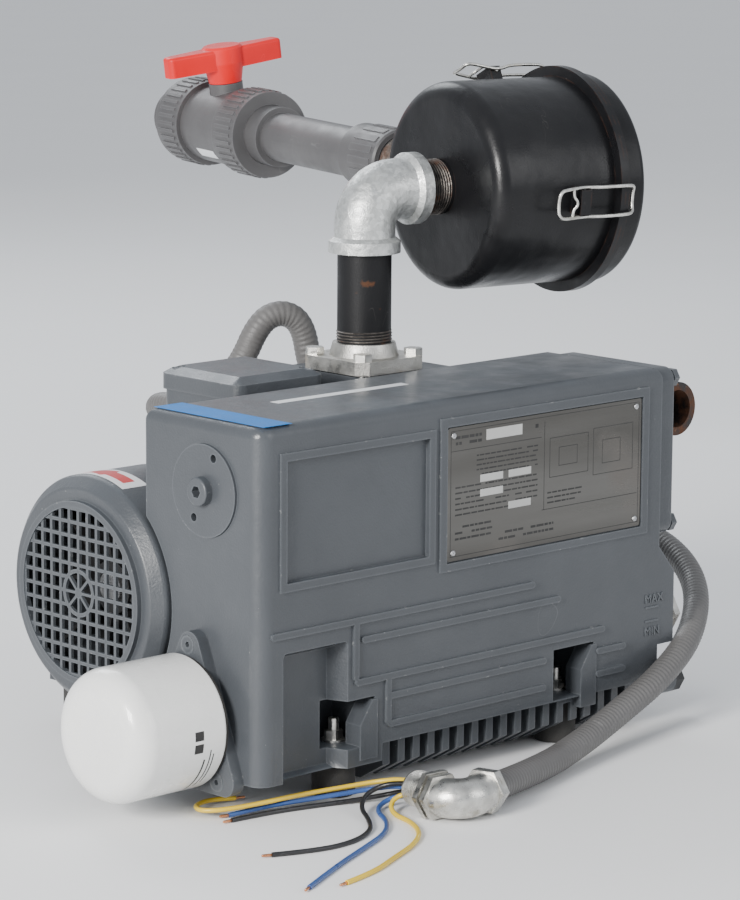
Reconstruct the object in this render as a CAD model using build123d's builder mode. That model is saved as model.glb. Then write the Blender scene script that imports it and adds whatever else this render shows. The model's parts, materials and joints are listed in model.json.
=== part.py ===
"""Rotary vane vacuum pump with its motor, oil box, inlet filter canister and inlet ball valve.

Millimetres, +Z up. The origin is the centre of the four rubber feet, on the floor. +X runs along the
motor and pump shaft from the fan end to the exhaust end, and +Y runs from the oil box to the motor side.
"""

from build123d import *
import math
import os

os.makedirs("parts", exist_ok=True)

# ---------------------------------------------------------------- driving dimensions
FOOT_SPACING_X, FOOT_SPACING_Y = 235, 290
FOOT_RADIUS, FOOT_TOP = 16, 34
BOX_LENGTH, BOX_DEPTH, BOX_HEIGHT, BOX_WALL = 418, 124, 260, 7
BOX_CORNER = (-214.5, -173, 26)  # the oil box's lower front left corner
SHAFT_Y, SHAFT_Z = 185.7, 114.4  # the shaft line, from that corner
MOTOR_RADIUS, COWL_RADIUS = 84, 87
PIPE_RADIUS, PIPE_BORE = 21.1, 17.5  # 1 1/4 inch pipe
SOCKET_RADIUS = 21.2
RISER_X, RISER_Y = 256, 166  # the inlet riser, from the box corner
ELBOW_Z = 395  # height of the horizontal inlet line
CANISTER_RADIUS, CANISTER_WALL = 81.5, 2
CANISTER_ANGLE, SPOUT_ANGLE, SPOUT_RISE = -10, 78, 1.3  # plan angles and rise, degrees
SPOUT_T, SPOUT_LIFT = 118, 2  # where the spout leaves the canister's axis, and how far above it
VALVE_S, VALVE_ROLL = 418, 8  # the ball's distance along the spout, and the valve's roll
CONDUIT_RADIUS, WIRE_RADIUS = 10.5, 1.8
RUNNING_GAP = 0.05
CLEAR = 0.3


# ---------------------------------------------------------------- places and small shapes
def at(x, y, z):
    """A point measured from the oil box's lower front left corner."""
    return Vector(BOX_CORNER[0] + x, BOX_CORNER[1] + y, BOX_CORNER[2] + z)


def facing_x(x, y=0, z=0):
    """A plane that faces +X, with local x along +Y and local y along +Z."""
    return Plane(origin=at(x, y, z), x_dir=(0, 1, 0), z_dir=(1, 0, 0))


def facing_front(y, x=0, z=0):
    """A plane that faces -Y, with local x along +X and local y along +Z."""
    return Plane(origin=at(x, y, z), x_dir=(1, 0, 0), z_dir=(0, -1, 0))


def facing_up(z, x=0, y=0):
    return Plane(origin=at(x, y, z), x_dir=(1, 0, 0), z_dir=(0, 0, 1))


def shaft_plane(x):
    return facing_x(x, SHAFT_Y, SHAFT_Z)


def rod(plane, radius, length, mode=Mode.ADD):
    with BuildSketch(plane) as section:
        Circle(radius)
    extrude(section.sketch, amount=length, mode=mode)


def ring(plane, outer, inner, length, mode=Mode.ADD):
    with BuildSketch(plane) as section:
        Circle(outer)
        Circle(inner, mode=Mode.SUBTRACT)
    extrude(section.sketch, amount=length, mode=mode)


def hexagon(plane, across_flats, length, mode=Mode.ADD):
    with BuildSketch(plane) as section:
        RegularPolygon(across_flats / 2, 6, major_radius=False)
    extrude(section.sketch, amount=length, mode=mode)


def rounded(plane, width, height, corner, length, mode=Mode.ADD):
    with BuildSketch(plane) as section:
        RectangleRounded(width, height, corner)
    extrude(section.sketch, amount=length, mode=mode)


def prism(plane, points, length, mode=Mode.ADD):
    with BuildSketch(plane) as section:
        Polygon(*points, align=None)
    extrude(section.sketch, amount=length, mode=mode)


def block(low, high, mode=Mode.ADD):
    """A box between two corners measured from the oil box's corner."""
    a, b = at(*low), at(*high)
    with Locations((a + b) / 2):
        Box(b.X - a.X, b.Y - a.Y, b.Z - a.Z, mode=mode)


def turned(plane, points, roundings=(), mode=Mode.ADD):
    """A solid of revolution about the plane's normal: points are (radius, distance along it)."""
    section_plane = Plane(origin=plane.origin, x_dir=plane.x_dir, z_dir=-plane.y_dir)
    with BuildSketch(section_plane) as section:
        Polygon(*points, align=None)
        for point, radius in roundings:
            fillet(section.vertices().sort_by_distance(Vector(*point, 0))[0], radius)
    revolve(section.sketch, axis=Axis(plane.origin, plane.z_dir), mode=mode)


def swept(points, radii, radius, mode=Mode.ADD):
    """A round bar along straight runs joined by tangent arcs."""
    with BuildLine() as path:
        if radii:
            FilletPolyline(*points, radius=radii)
        else:
            Line(*points)
    with BuildSketch(Plane(origin=path.line @ 0, z_dir=path.line % 0)) as section:
        Circle(radius)
    sweep(section.sketch, path=path.line, mode=mode)


def wire_frame(points, radius, closed=True):
    """Round wire through the points, with a ball at each bend."""
    ends = list(zip(points, points[1:] + points[:1]))
    for a, b in ends if closed else ends[:-1]:
        rod(Plane(origin=a, z_dir=(b - a).normalized()), radius, (b - a).length)
    for point in points:
        with Locations(point):
            Sphere(radius)


def save(piece, name):
    piece.part.label = name
    export_step(piece.part, f"parts/{name}.step")


# ---------------------------------------------------------------- oil box
FEET = [(x, y) for x in (97, 97 + FOOT_SPACING_X) for y in (28, 28 + FOOT_SPACING_Y)]
FILTER_HEAD_SCREWS = [(67, 95.7), (35.7, 0), (104, 0)]  # y, z on the box's left end
COVER_BOLTS = [(12, 249), (112, 249), (12, 134), (112, 134)]  # y, z on its right end
PLUG_Y, PLUG_Z, PLUG_RADIUS = 58.5, 208, 33.9
GLASS_Y, GLASS_Z = 15, 62
DRAIN_Y, DRAIN_Z = 22, 3
FIN_PITCH, FIN_THICKNESS, FIN_COUNT = 15.4, 7, 19


def rib(x0, z0, x1, z1):
    """A low raised rib with round ends on the front face."""
    width, height = 5, 2
    length = max(abs(x1 - x0), abs(z1 - z0)) + width
    turn = 0 if abs(x1 - x0) > abs(z1 - z0) else 90
    with BuildSketch(facing_front(0, (x0 + x1) / 2, (z0 + z1) / 2)) as section:
        SlotOverall(length, width, rotation=turn)
    extrude(section.sketch, amount=height)


def pocket(x0, x1, z0, z1, depth, slope):
    """A recess in the front face with sloping walls."""
    into = Plane(origin=at((x0 + x1) / 2, 0, (z0 + z1) / 2), x_dir=(1, 0, 0), z_dir=(0, 1, 0))
    with BuildSketch(into) as section:
        RectangleRounded(x1 - x0, z1 - z0, 4)
    extrude(section.sketch, amount=depth, taper=slope, mode=Mode.SUBTRACT)


with BuildPart() as oil_box:
    block((0, 0, 0), (BOX_LENGTH, BOX_DEPTH, BOX_HEIGHT))
    upright = oil_box.edges().filter_by(Axis.Z)
    fillet(upright.group_by(Axis.X)[0].group_by(Axis.Y)[0], 12)
    fillet(oil_box.edges().group_by(Axis.Z)[-1], 9)
    block((120, -1, -1), (BOX_LENGTH + 1, BOX_DEPTH + 1, 13), Mode.SUBTRACT)
    # upper chamber behind the exhaust cover, and the oil sump
    block((BOX_WALL, BOX_WALL, 112), (BOX_LENGTH - 7, 86, 253), Mode.SUBTRACT)
    block((236, 80, 112), (BOX_LENGTH - 7, 117, 253), Mode.SUBTRACT)
    block((BOX_WALL, 50, 24), (BOX_LENGTH - 7, 86, 113), Mode.SUBTRACT)
    block((236, 80, 24), (BOX_LENGTH - 7, 117, 113), Mode.SUBTRACT)
    block((BOX_LENGTH - 8, 20, 142), (BOX_LENGTH + 1, 104, 242), Mode.SUBTRACT)
    # raised frames round the plain panel and the nameplate
    block((18.5, -1.5, 140), (171, 1, 240))
    block((24.5, -2, 146), (165, 3, 234), Mode.SUBTRACT)
    block((176, -1.5, 132), (402, 1, 247))
    block((183, -2, 138), (395, 1, 240), Mode.SUBTRACT)
    rib(12, 109, 274.5, 109)
    rib(92, 107, 92, 67)
    rib(100, 94, 303, 94)
    rib(94, 63, 353, 63)
    rib(124.5, 61, 124.5, 29)
    rib(127, 48, 288, 48)
    rib(127, 27, 288, 27)
    rib(349, 46, 377, 46)
    rib(349, 28, 377, 28)
    pocket(22, 85, -4, 95, 16, 22)
    # niches over the two front feet, each with a cast ear at its right side
    for x0, x1, top in ((72, 112, 50), (300, 345, 54)):
        block((x0, -3, 14), (x1, 46, top), Mode.SUBTRACT)
        ear = [(x1 - 15, 4), (x1 + 2, 4), (x1 + 2, top - 2), (x1 - 3, top - 2), (x1 - 15, top - 20)]
        prism(facing_front(15), ear, 16)
    # sight glass boss with its sloping top
    prism(facing_front(34), [(410, 40), (436, 40), (436, 97), (416, 121), (410, 121)], 34)
    # cooling fins under the sump
    fin = [(6, 13.5), (6, -6), (30, -20), (94, -20), (118, -6), (118, 13.5)]
    for index in range(FIN_COUNT):
        prism(facing_x(126 + FIN_PITCH * index), fin, FIN_THICKNESS)
    rod(facing_up(-30, *FEET[2]), FOOT_RADIUS + 4, 38, Mode.SUBTRACT)
    rod(facing_up(-1, *FEET[0]), FOOT_RADIUS + 4, 9, Mode.SUBTRACT)
    block((312, 6, 8), (352, 52, 14))
    for x, y in (FEET[0], FEET[2]):
        rod(facing_up(-1, x, y), 4.3, 20, Mode.SUBTRACT)
    # drain boss, sight glass seat, separator plug seat and bolt holes
    rod(facing_x(404, DRAIN_Y, DRAIN_Z), 11, 50)
    rod(facing_x(442, DRAIN_Y, DRAIN_Z), 6.1, 14, Mode.SUBTRACT)
    rod(facing_x(428, GLASS_Y, GLASS_Z), 10.2, 10, Mode.SUBTRACT)
    rod(facing_x(-2, PLUG_Y, PLUG_Z), PLUG_RADIUS + 0.1, 20, Mode.SUBTRACT)
    for y, z in COVER_BOLTS:
        rod(facing_x(400, y, z), 4.1, 20, Mode.SUBTRACT)
    for y, z in FILTER_HEAD_SCREWS[:1]:
        rod(facing_x(-1, y, z), 3.1, 16, Mode.SUBTRACT)
    # relief for the motor that lies behind the box
    rod(shaft_plane(-1), 90, 213, Mode.SUBTRACT)
    rod(shaft_plane(211), 72, 18, Mode.SUBTRACT)
save(oil_box, "oil_box")

with BuildPart() as nameplate:
    block((184, -0.4, 139), (394, 1, 239))
    fillet(nameplate.edges().filter_by(Axis.Y), 2)
save(nameplate, "nameplate")

COVER_CENTRE = (421, 62, 192)
with BuildPart() as exhaust_cover_gasket:
    rounded(facing_x(418, *COVER_CENTRE[1:]), 112, 128, 8, 3)
    rounded(facing_x(418, *COVER_CENTRE[1:]), 84, 98, 4, 3, Mode.SUBTRACT)
    for y, z in COVER_BOLTS:
        rod(facing_x(418, y, z), 4.2, 3, Mode.SUBTRACT)
save(exhaust_cover_gasket, "exhaust_cover_gasket")

EXHAUST_Y, EXHAUST_Z, EXHAUST_BORE = 73, 217, 15.1
with BuildPart() as exhaust_cover:
    rounded(facing_x(*COVER_CENTRE), 116, 132, 10, 17)
    fillet(exhaust_cover.faces().sort_by(Axis.X)[-1].edges(), 3.5)
    rounded(facing_x(*COVER_CENTRE), 84, 98, 4, 11, Mode.SUBTRACT)
    rod(facing_x(421, EXHAUST_Y, EXHAUST_Z), 23, 21)
    rod(facing_x(420, EXHAUST_Y, EXHAUST_Z), 17, 24, Mode.SUBTRACT)
    for y, z in COVER_BOLTS:
        rod(facing_x(420, y, z), 4.2, 20, Mode.SUBTRACT)
save(exhaust_cover, "exhaust_cover")

with BuildPart() as exhaust_elbow:
    bend = [at(442.2, EXHAUST_Y, EXHAUST_Z), at(475, EXHAUST_Y, EXHAUST_Z), at(475, 35, EXHAUST_Z)]
    swept(bend, [21], 18.5)
    rod(facing_x(427, EXHAUST_Y, EXHAUST_Z), 16.9, 15)
    rod(facing_x(442.2, EXHAUST_Y, EXHAUST_Z), 20.5, 5)
    rod(facing_front(49, 475, EXHAUST_Z), 21.5, 14)
    swept([at(426, EXHAUST_Y, EXHAUST_Z)] + bend[1:2] + [at(475, 34, EXHAUST_Z)], [21],
          EXHAUST_BORE, Mode.SUBTRACT)
save(exhaust_elbow, "exhaust_elbow")

with BuildPart() as separator_plug:
    rod(facing_x(-2, PLUG_Y, PLUG_Z), PLUG_RADIUS, 14)
    for y, z in ((47.7, 232.6), (68.9, 187.4)):
        rod(facing_x(-2, y, z), 3, 8, Mode.SUBTRACT)
    rod(facing_x(-2, PLUG_Y, PLUG_Z), 8.3, 14, Mode.SUBTRACT)
save(separator_plug, "separator_plug")

with BuildPart() as oil_filler_plug:
    rod(facing_x(-9, PLUG_Y, PLUG_Z), 10.5, 7)
    fillet(oil_filler_plug.faces().sort_by(Axis.X)[0].edges(), 1.5)
    rod(facing_x(-2, PLUG_Y, PLUG_Z), 8.1, 14)
    hexagon(facing_x(-9, PLUG_Y, PLUG_Z), 8, 7, Mode.SUBTRACT)
save(oil_filler_plug, "oil_filler_plug")

with BuildPart() as exhaust_filter_element:
    ring(facing_x(14, PLUG_Y, PLUG_Z), 27, 17, 366)
save(exhaust_filter_element, "exhaust_filter_element")

FILTER_Y, FILTER_Z, FILTER_RADIUS = 70, 40, 49
with BuildPart() as oil_filter_head:
    prism(facing_x(-10), [(12, -9), (128, -10), (64, 122)], 10)
    fillet(oil_filter_head.edges().filter_by(Axis.X), 11)
    rod(facing_x(-24, FILTER_Y, FILTER_Z), 10, 14)
    for y, z in FILTER_HEAD_SCREWS:
        rod(facing_x(-10, y, z), 3.1, 10, Mode.SUBTRACT)
        turned(facing_x(-10, y, z), [(0, -1), (7.2, -1), (7.2, 0), (3.1, 4.1), (0, 4.1)], mode=Mode.SUBTRACT)
save(oil_filter_head, "oil_filter_head")

with BuildPart() as oil_filter:
    can = [(10.3, 0), (FILTER_RADIUS - 2, 0), (FILTER_RADIUS - 2, 4), (FILTER_RADIUS, 4),
           (FILTER_RADIUS, 84), (0, 84), (0, 82.5), (47.5, 82.5), (47.5, 2), (10.3, 2)]
    turned(Plane(origin=at(-10, FILTER_Y, FILTER_Z), x_dir=(0, 1, 0), z_dir=(-1, 0, 0)), can,
           [((FILTER_RADIUS, 84), 18), ((47.5, 82.5), 16.5)])
save(oil_filter, "oil_filter")

with BuildPart() as sight_glass_lens:
    rod(facing_x(430, GLASS_Y, GLASS_Z), 10, 6)
save(sight_glass_lens, "sight_glass_lens")

with BuildPart() as sight_glass_nut:
    hexagon(facing_x(436, GLASS_Y, GLASS_Z), 30, 6)
    rod(facing_x(436, GLASS_Y, GLASS_Z), 8.5, 6, Mode.SUBTRACT)
save(sight_glass_nut, "sight_glass_nut")

with BuildPart() as oil_drain_plug:
    hexagon(facing_x(454, DRAIN_Y, DRAIN_Z), 19, 10)
    rod(facing_x(454, DRAIN_Y, DRAIN_Z), 11, 3)
    rod(facing_x(444, DRAIN_Y, DRAIN_Z), 5.9, 10)
save(oil_drain_plug, "oil_drain_plug")

# ---------------------------------------------------------------- pump end
PUMP_LEFT, PUMP_RIGHT = 228, 345
ROTOR_RADIUS, STATOR_RADIUS, ECCENTRIC = 45.7, 52, 6
PUMP_CENTRE_Y, PUMP_CENTRE_Z, PUMP_DEPTH, PUMP_HEIGHT = 193, 145, 137, 210
BOLT_OFFSET = 27
with BuildPart() as pump_cylinder:
    rounded(facing_x(PUMP_LEFT, PUMP_CENTRE_Y, PUMP_CENTRE_Z), PUMP_DEPTH, PUMP_HEIGHT, 14,
            PUMP_RIGHT - PUMP_LEFT)
    rounded(facing_up(240, RISER_X, RISER_Y), 66, 66, 6, 16)
    rod(facing_x(PUMP_LEFT, SHAFT_Y, SHAFT_Z + ECCENTRIC), STATOR_RADIUS, 117, Mode.SUBTRACT)
    rod(facing_up(160, RISER_X, RISER_Y), 12, 100, Mode.SUBTRACT)
    rod(facing_up(226, RISER_X, RISER_Y), 18.3, 40, Mode.SUBTRACT)
    for dx in (-BOLT_OFFSET, BOLT_OFFSET):
        for dy in (-BOLT_OFFSET, BOLT_OFFSET):
            rod(facing_up(240, RISER_X + dx, RISER_Y + dy), 4.2, 20, Mode.SUBTRACT)
save(pump_cylinder, "pump_cylinder")

with BuildPart() as pump_end_cover:
    rounded(facing_x(PUMP_RIGHT, PUMP_CENTRE_Y, PUMP_CENTRE_Z), PUMP_DEPTH - 6, PUMP_HEIGHT - 8, 12, 17)
    fillet(pump_end_cover.faces().sort_by(Axis.X)[-1].edges(), 5)
    rod(shaft_plane(PUMP_RIGHT), 26.2, 13, Mode.SUBTRACT)
save(pump_end_cover, "pump_end_cover")

with BuildPart() as pump_bracket:
    rod(shaft_plane(200), 70, 28)
    rod(shaft_plane(199), 58, 19, Mode.SUBTRACT)
    rod(shaft_plane(217), 26.2, 12, Mode.SUBTRACT)
save(pump_bracket, "pump_bracket")

VANE_ANGLES, VANE_DEPTH, VANE_THICKNESS = (30, 150, 270), 26, 6
with BuildPart() as pump_rotor:
    rod(shaft_plane(PUMP_LEFT + CLEAR), ROTOR_RADIUS, 117 - 2 * CLEAR)
    rod(shaft_plane(207.5), 14, 149)
    for angle in VANE_ANGLES:
        with BuildSketch(shaft_plane(PUMP_LEFT)) as slot:
            with PolarLocations(ROTOR_RADIUS - VANE_DEPTH / 2, 1, start_angle=angle):
                Rectangle(VANE_DEPTH + 2, VANE_THICKNESS)
        extrude(slot.sketch, amount=117, mode=Mode.SUBTRACT)
save(pump_rotor, "pump_rotor")

with BuildPart() as rotor_vanes:
    with BuildSketch(shaft_plane(PUMP_LEFT + 2 * CLEAR)):
        with PolarLocations(ROTOR_RADIUS - VANE_DEPTH / 2 - 0.6, 3, start_angle=VANE_ANGLES[0]):
            Rectangle(VANE_DEPTH - 1, VANE_THICKNESS - 0.4)
    extrude(amount=117 - 4 * CLEAR)
save(rotor_vanes, "rotor_vanes")

with BuildPart() as shaft_bearings:
    ring(shaft_plane(218.4), 26, 14 + RUNNING_GAP, 9.2)
    ring(shaft_plane(345.6), 26, 14 + RUNNING_GAP, 11)
save(shaft_bearings, "shaft_bearings")

with BuildPart() as inlet_valve_disc:
    rod(facing_up(226.5, RISER_X, RISER_Y), 17.9, 4)
    fillet(inlet_valve_disc.edges(), 1)
save(inlet_valve_disc, "inlet_valve_disc")

with BuildPart() as inlet_flange:
    with BuildSketch(facing_up(257.5, RISER_X, RISER_Y)):
        Rectangle(72, 72)
        chamfer(vertices(), 8)
    extrude(amount=10.5)
    hub = Plane(origin=at(RISER_X, RISER_Y, 268), z_dir=(0, 0, 1))
    turned(hub, [(0, -1), (27.5, -1), (24.5, 10), (0, 10)])
    rod(facing_up(257, RISER_X, RISER_Y), 14, 12, Mode.SUBTRACT)
    rod(facing_up(268, RISER_X, RISER_Y), SOCKET_RADIUS, 12, Mode.SUBTRACT)
    for dx in (-BOLT_OFFSET, BOLT_OFFSET):
        for dy in (-BOLT_OFFSET, BOLT_OFFSET):
            rod(facing_up(257, RISER_X + dx, RISER_Y + dy), 4.2, 12, Mode.SUBTRACT)
save(inlet_flange, "inlet_flange")

# M8 hexagon bolts, bright steel
with BuildPart() as hex_bolts:
    for dx in (-BOLT_OFFSET, BOLT_OFFSET):
        for dy in (-BOLT_OFFSET, BOLT_OFFSET):
            hexagon(facing_up(268, RISER_X + dx, RISER_Y + dy), 13, 5.5)
            rod(facing_up(244, RISER_X + dx, RISER_Y + dy), 4, 24)
save(hex_bolts, "hex_bolts")

# ---------------------------------------------------------------- motor
MOTOR_LEFT, MOTOR_RIGHT, MOTOR_SHAFT_RADIUS = 60, 200, 12
with BuildPart() as motor_frame:
    rod(shaft_plane(MOTOR_LEFT), 74, MOTOR_RIGHT - MOTOR_LEFT)
    with BuildSketch(shaft_plane(MOTOR_LEFT + 12)):
        with PolarLocations(MOTOR_RADIUS - 7, 32):
            Rectangle(14, 3)
    extrude(amount=MOTOR_RIGHT - MOTOR_LEFT - 24)
    ring(shaft_plane(MOTOR_RIGHT - 14), 80, 60, 14)
    block((112, 148, 172), (183, 224, 200))
    rod(shaft_plane(MOTOR_LEFT + 10), 66, MOTOR_RIGHT - MOTOR_LEFT - 20, Mode.SUBTRACT)
    rod(shaft_plane(MOTOR_LEFT - 1), MOTOR_SHAFT_RADIUS + RUNNING_GAP, 150, Mode.SUBTRACT)
save(motor_frame, "motor_frame")

with BuildPart() as motor_stator:
    ring(shaft_plane(84), 65.9, 42, 92)
save(motor_stator, "motor_stator")

with BuildPart() as motor_rotor:
    rod(shaft_plane(80), 41.5, 100)
    rod(shaft_plane(16), MOTOR_SHAFT_RADIUS, 191)
save(motor_rotor, "motor_rotor")

with BuildPart() as shaft_coupling:
    ring(shaft_plane(202), 25, MOTOR_SHAFT_RADIUS + 0.02, 5.4)
    ring(shaft_plane(207.4), 25, 14.02, 9)
save(shaft_coupling, "shaft_coupling")

GRILLE_RADIUS, GRILLE_PITCH, GRILLE_BAR = 66, 10.5, 2.6
with BuildPart() as fan_cowl:
    shell = [(GRILLE_RADIUS - 1, -11), (78, -11), (COWL_RADIUS, -2), (COWL_RADIUS, 62),
             (COWL_RADIUS - 2, 62), (COWL_RADIUS - 2, -1), (77, -9), (GRILLE_RADIUS - 1, -9)]
    turned(shaft_plane(0), shell, [((COWL_RADIUS, -2), 5), ((78, -11), 3)])
    ring(shaft_plane(-15), GRILLE_RADIUS + 3, GRILLE_RADIUS - 2, 5)
    with BuildSketch(shaft_plane(-14)):
        Circle(GRILLE_RADIUS - 1)
        with GridLocations(GRILLE_PITCH, GRILLE_PITCH, 12, 12):
            Rectangle(GRILLE_PITCH - GRILLE_BAR, GRILLE_PITCH - GRILLE_BAR, mode=Mode.SUBTRACT)
        Circle(18)
        Circle(15, mode=Mode.SUBTRACT)
        with PolarLocations(9, 8):
            Rectangle(16, 2)
        Circle(4)
    extrude(amount=2.5)
save(fan_cowl, "fan_cowl")

with BuildPart() as cooling_fan:
    ring(shaft_plane(18), 20, MOTOR_SHAFT_RADIUS + 0.02, 32)
    ring(shaft_plane(48), 76, 19, 2)
    with BuildSketch(shaft_plane(20)):
        with PolarLocations(48, 9):
            Rectangle(58, 2.5)
    extrude(amount=29)
save(cooling_fan, "cooling_fan")

TERMINAL_CENTRE = (147.5, 186)
with BuildPart() as terminal_box:
    rounded(facing_up(200, *TERMINAL_CENTRE), 85, 88, 8, 50)
    rounded(facing_up(204, *TERMINAL_CENTRE), 77, 80, 5, 46, Mode.SUBTRACT)
    rod(facing_front(231, 150, 226), 10.6, 8, Mode.SUBTRACT)
save(terminal_box, "terminal_box")

with BuildPart() as terminal_box_lid:
    rounded(facing_up(250, *TERMINAL_CENTRE), 89, 92, 9, 17)
    chamfer(terminal_box_lid.faces().sort_by(Axis.Z)[-1].edges(), 5, 9)
    rounded(facing_up(250, *TERMINAL_CENTRE), 77, 80, 5, 5, Mode.SUBTRACT)
    for dx in (-34, 34):
        rod(facing_up(249, TERMINAL_CENTRE[0] + dx, TERMINAL_CENTRE[1] - dx), 2.7, 20, Mode.SUBTRACT)
        rod(facing_up(262, TERMINAL_CENTRE[0] + dx, TERMINAL_CENTRE[1] - dx), 5.2, 6, Mode.SUBTRACT)
save(terminal_box_lid, "terminal_box_lid")

# Painted over with the housings: M8 bolts of the exhaust cover, M5 screws of the terminal box lid
# and countersunk M6 screws of the filter head
with BuildPart() as housing_screws:
    for y, z in COVER_BOLTS:
        hexagon(facing_x(438, y, z), 13, 5.5)
        rod(facing_x(408, y, z), 4, 30)
    for dx in (-34, 34):
        rod(facing_up(255.5, TERMINAL_CENTRE[0] + dx, TERMINAL_CENTRE[1] - dx), 2.5, 7)
        rod(facing_up(262, TERMINAL_CENTRE[0] + dx, TERMINAL_CENTRE[1] - dx), 5, 3.5)
    for y, z in FILTER_HEAD_SCREWS:
        turned(facing_x(-10, y, z), [(0, 0), (6.9, 0), (3, 3.9), (0, 3.9)])
        rod(facing_x(-7, y, z), 3, 7)
        hexagon(facing_x(-10, y, z), 4, 3, Mode.SUBTRACT)
save(housing_screws, "housing_screws")

# ---------------------------------------------------------------- feet
with BuildPart() as rubber_feet:
    for x, y in FEET:
        rod(facing_up(-26, x, y), FOOT_RADIUS, FOOT_TOP)
    fillet(rubber_feet.edges().filter_by(GeomType.CIRCLE), 1.5)
    for x, y in FEET:
        rod(facing_up(-26, x, y), 3.4, 14, Mode.SUBTRACT)
        rod(facing_up(-4, x, y), 4.1, 12, Mode.SUBTRACT)
save(rubber_feet, "rubber_feet")

with BuildPart() as foot_studs:
    for x, y in FEET:
        rod(facing_up(-3, x, y), 4, 34)
        rod(facing_up(14, x, y), 9, 1.6)
        hexagon(facing_up(15.6, x, y), 13, 6.5)
save(foot_studs, "foot_studs")

with BuildPart() as rear_foot_rail:
    block((75, 303, 8), (355, 333, 14))
    block((75, 303, 8), (355, 306, 26))
    for x0 in (236, 316):
        block((x0, 165, 8), (x0 + 26, 304, 14))
        block((x0, 165, 8), (x0 + 26, 235, 40))
    for x, y in (FEET[1], FEET[3]):
        rod(facing_up(7, x, y), 4.3, 8, Mode.SUBTRACT)
save(rear_foot_rail, "rear_foot_rail")

# ---------------------------------------------------------------- inlet riser, elbow and filter canister
riser_base = at(RISER_X, RISER_Y, 268)
with BuildPart() as riser_nipple:
    ring(Plane(origin=riser_base), PIPE_RADIUS, PIPE_BORE, 92)
save(riser_nipple, "riser_nipple")

arm = Vector(math.cos(math.radians(CANISTER_ANGLE)), math.sin(math.radians(CANISTER_ANGLE)), 0)
elbow_centre = at(RISER_X, RISER_Y, ELBOW_Z)
ELBOW_REACH, BAND_LENGTH = 47, 9


def on_arm(t):
    """A plane across the canister's axis, facing away from the elbow; its local y is up."""
    return Plane(origin=elbow_centre + arm * t, x_dir=Vector(0, 0, 1).cross(arm), z_dir=arm)


with BuildPart() as pipe_elbow:
    below, beyond = elbow_centre - Vector(0, 0, ELBOW_REACH), elbow_centre + arm * ELBOW_REACH
    swept([below, elbow_centre, beyond], [26], 23.8)
    for band in (Plane(origin=below), Plane(origin=beyond, x_dir=(0, 0, 1), z_dir=-arm)):
        turned(band, [(0, 0), (28, 0), (28, BAND_LENGTH), (24, BAND_LENGTH + 3), (0, BAND_LENGTH + 3)])
    swept([below, elbow_centre, beyond], [26], PIPE_BORE, Mode.SUBTRACT)
    rod(Plane(origin=below), SOCKET_RADIUS, 12, Mode.SUBTRACT)
    rod(on_arm(ELBOW_REACH - 12), SOCKET_RADIUS, 12, Mode.SUBTRACT)
save(pipe_elbow, "pipe_elbow")

with BuildPart() as canister_nipple:
    ring(on_arm(ELBOW_REACH - 12), PIPE_RADIUS, PIPE_BORE, 40)
save(canister_nipple, "canister_nipple")

CANISTER_BACK, FLANGE_T, LID_T, LID_END = 70, 180, 184, 209
FLANGE_RADIUS = 90
LATCH_ANGLES = (-5, 115, 235)  # about the canister's axis, from its front side upwards
PIVOT_T, PIVOT_RADIUS, WIRE_CLIP_RADIUS = 143, 90, 1.4
slope = math.radians(SPOUT_RISE)
level = Vector(math.cos(math.radians(SPOUT_ANGLE)), math.sin(math.radians(SPOUT_ANGLE)), 0)
spout = level * math.cos(slope) + Vector(0, 0, math.sin(slope))
spout_start = elbow_centre + arm * SPOUT_T + Vector(0, 0, SPOUT_LIFT)


def on_spout(s):
    """A plane across the spout line, s from the canister's axis; its local y is nearly up."""
    return Plane(origin=spout_start + spout * s, x_dir=Vector(0, 0, 1).cross(spout), z_dir=spout)


def latch_frame(angle):
    """Outward and sideways directions of a latch, turned about the canister's axis from its side."""
    side = arm.cross(Vector(0, 0, 1)).normalized()
    turn = math.radians(angle)
    outward = side * math.cos(turn) + Vector(0, 0, 1) * math.sin(turn)
    return outward, arm.cross(outward)


def latch_point(angle, radius, t, across):
    outward, sideways = latch_frame(angle)
    return elbow_centre + arm * t + outward * radius + sideways * across


with BuildPart() as canister_body:
    inner = CANISTER_RADIUS - CANISTER_WALL
    shell = [(21.4, CANISTER_BACK), (CANISTER_RADIUS, CANISTER_BACK), (CANISTER_RADIUS, FLANGE_T),
             (FLANGE_RADIUS, FLANGE_T), (FLANGE_RADIUS, LID_T), (inner, LID_T),
             (inner, CANISTER_BACK + 2), (21.4, CANISTER_BACK + 2)]
    turned(on_arm(0), shell, [((CANISTER_RADIUS, CANISTER_BACK), 13), ((inner, CANISTER_BACK + 2), 11)])
    for angle in LATCH_ANGLES:
        outward, sideways = latch_frame(angle)
        ear = Plane(origin=latch_point(angle, CANISTER_RADIUS + 5.5, PIVOT_T, -10), x_dir=arm, z_dir=sideways)
        with BuildSketch(ear) as ear_section:
            Rectangle(10, 14)
        extrude(ear_section.sketch, amount=20)
        pin = Plane(origin=latch_point(angle, PIVOT_RADIUS, PIVOT_T, -11), z_dir=sideways)
        rod(pin, WIRE_CLIP_RADIUS + RUNNING_GAP, 22, Mode.SUBTRACT)
    rod(on_spout(60), SOCKET_RADIUS + 0.2, 40, Mode.SUBTRACT)
save(canister_body, "canister_body")

with BuildPart() as canister_lid:
    cap = [(0, LID_END), (84, LID_END), (84, LID_T + 4), (FLANGE_RADIUS, LID_T + 4), (FLANGE_RADIUS, LID_T),
           (82, LID_T), (82, LID_END - 2), (0, LID_END - 2)]
    turned(on_arm(0), cap, [((84, LID_END), 5), ((82, LID_END - 2), 3)])
save(canister_lid, "canister_lid")

with BuildPart() as filter_element:
    ring(on_arm(100), 62, 38, 100)
save(filter_element, "filter_element")

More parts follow.
